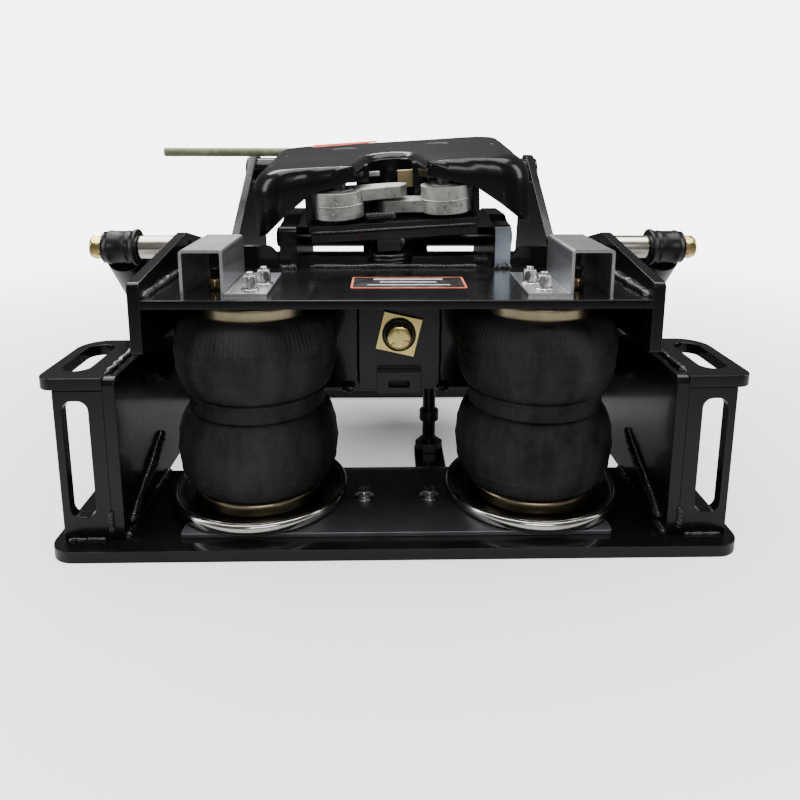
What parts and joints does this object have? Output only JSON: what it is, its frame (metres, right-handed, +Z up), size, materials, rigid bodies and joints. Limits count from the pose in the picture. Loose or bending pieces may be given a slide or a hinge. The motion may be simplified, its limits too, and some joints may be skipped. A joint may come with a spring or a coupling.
{
  "type": "fifth wheel hitch",
  "caption": "Air-ride fifth wheel hitch: slotted base, frame rocking on air springs with shock absorbers, and a tilting skid plate head with swinging jaws.",
  "frame": {"origin": "middle of the base footprint, on the bed rails", "axes": "+X right, +Y forward towards the cab, +Z up"},
  "size_m": [0.72, 0.68, 0.4037],
  "materials": {
    "black_powder_coat": "gloss powder coat",
    "dark_aluminium": "satin",
    "mill_aluminium": "mill finish",
    "rolled_steel": "bright rolled",
    "zinc_plate": "bright zinc",
    "yellow_zinc": "yellow zinc",
    "rubber": "matte",
    "cast_steel": "galvanised casting",
    "brass": "machined",
    "handle_paint": "satin",
    "label": "printed film",
    "spring_steel": "black oxide"
  },
  "bodies": {
    "base": {"base_plate_rear": "black_powder_coat", "base_plate_front": "black_powder_coat", "side_plate_left": "black_powder_coat", "side_plate_right": "black_powder_coat", "end_plate_rear_left": "black_powder_coat", "end_plate_rear_right": "black_powder_coat", "end_plate_front_left": "black_powder_coat", "end_plate_front_right": "black_powder_coat", "grip_plate_rear_left": "black_powder_coat", "grip_plate_rear_right": "black_powder_coat", "grip_plate_front_left": "black_powder_coat", "grip_plate_front_right": "black_powder_coat", "front_tower_left": "black_powder_coat", "front_tower_right": "black_powder_coat", "tower_bar": "black_powder_coat", "pivot_shafts": "zinc_plate", "spring_mount_plate": "dark_aluminium", "plate_bolts": "zinc_plate", "roll_plate_left": "rolled_steel", "roll_plate_right": "rolled_steel", "air_spring_left": "rubber", "air_spring_right": "rubber", "limit_rod": "black_powder_coat", "limit_bumper": "rubber", "limit_nuts": "black_powder_coat", "shock_low_pins": "zinc_plate"},
    "rocker": {"upper_plate": "black_powder_coat", "rocker_side_left": "black_powder_coat", "rocker_side_right": "black_powder_coat", "rocker_cross_rear": "black_powder_coat", "rocker_cross_front": "black_powder_coat", "head_tower_left": "black_powder_coat", "head_tower_right": "black_powder_coat", "channel_cover_left": "mill_aluminium", "channel_cover_right": "mill_aluminium", "channel_studs": "zinc_plate", "upper_bead_rings": "rolled_steel", "air_fittings": "brass", "centre_bolt": "yellow_zinc", "square_washer": "yellow_zinc", "bump_block": "black_powder_coat", "label_plate": "label", "shock_spacers": "zinc_plate", "shock_top_bolts": "yellow_zinc", "pivot_bushings": "brass", "head_spring": "spring_steel"},
    "shock_top_left": {"shock_cover_left": "black_powder_coat"},
    "shock_top_right": {"shock_cover_right": "black_powder_coat"},
    "shock_low_left": {"shock_body_left": "black_powder_coat"},
    "shock_low_right": {"shock_body_right": "black_powder_coat"},
    "trunnion": {"trunnion_block": "black_powder_coat"},
    "head": {"skid_plate": "black_powder_coat", "head_cradle": "black_powder_coat", "roll_pin": "zinc_plate", "jaw_pins": "zinc_plate", "kingpin_saddle": "cast_steel"},
    "jaw_left": {"jaw_left": "cast_steel"},
    "jaw_right": {"jaw_right": "cast_steel"},
    "lock": {"lock_fork": "cast_steel"},
    "handle": {"release_handle": "handle_paint"}
  },
  "joints": [
    {"name": "rocker_swing", "type": "hinge", "parent": "base", "child": "rocker", "pos_m": [0, 0.25, 0.12], "axis": [1, 0, 0], "range_deg": [0, 5.5], "stiffness_Nm_per_rad": 2600, "springref_deg": -14.32, "deforming": ["air_spring_left", "air_spring_right"]},
    {"name": "shock_top_left_swing", "type": "hinge", "parent": "rocker", "child": "shock_top_left", "pos_m": [-0.3245, -0.125, 0.275], "axis": [1, 0, 0], "range_deg": [0, 1.2]},
    {"name": "shock_low_left_swing", "type": "hinge", "parent": "base", "child": "shock_low_left", "pos_m": [-0.3245, 0.11, 0.05], "axis": [1, 0, 0], "range_deg": [0, 6.7]},
    {"name": "shock_top_right_swing", "type": "hinge", "parent": "rocker", "child": "shock_top_right", "pos_m": [0.3245, -0.125, 0.275], "axis": [1, 0, 0], "range_deg": [0, 1.2]},
    {"name": "shock_low_right_swing", "type": "hinge", "parent": "base", "child": "shock_low_right", "pos_m": [0.3245, 0.11, 0.05], "axis": [1, 0, 0], "range_deg": [0, 6.7]},
    {"name": "head_pitch", "type": "hinge", "parent": "rocker", "child": "trunnion", "pos_m": [0, -0.06, 0.278], "axis": [-1, 0, 0], "range_deg": [0, 10], "deforming": ["head_spring"]},
    {"name": "head_roll", "type": "hinge", "parent": "trunnion", "child": "head", "pos_m": [0, -0.06, 0.278], "axis": [0, 0.9962, 0.0872], "range_deg": [0, 7]},
    {"name": "handle_pull", "type": "slide", "parent": "head", "child": "handle", "axis": [-0.9981, 0.0053, -0.0608], "range_m": [0, 0.09], "stiffness_N_per_m": 400, "springref_m": -0.08},
    {"name": "lock_slide", "type": "slide", "parent": "head", "child": "lock", "axis": [0, 0.9962, 0.0872], "range_m": [0, 0.0301]},
    {"name": "jaw_left_swing", "type": "hinge", "parent": "head", "child": "jaw_left", "pos_m": [-0.06706, -0.11499, 0.32137], "axis": [-0.061, -0.087, 0.9943], "range_deg": [-75.1, 0]},
    {"name": "jaw_right_swing", "type": "hinge", "parent": "head", "child": "jaw_right", "pos_m": [0.06071, -0.11567, 0.32915], "axis": [-0.061, -0.087, 0.9943], "range_deg": [0, 75.1]}
  ],
  "couplings": [
    {"joint": "shock_top_left_swing", "follows": "rocker_swing", "ratio": 0.1917},
    {"joint": "shock_low_left_swing", "follows": "rocker_swing", "ratio": 1.1917},
    {"joint": "shock_top_right_swing", "follows": "rocker_swing", "ratio": 0.1917},
    {"joint": "shock_low_right_swing", "follows": "rocker_swing", "ratio": 1.1917},
    {"joint": "lock_slide", "follows": "handle_pull", "ratio": 0.3333},
    {"joint": "jaw_left_swing", "follows": "handle_pull", "rad_per_m": -14.544},
    {"joint": "jaw_right_swing", "follows": "handle_pull", "rad_per_m": 14.544}
  ]
}
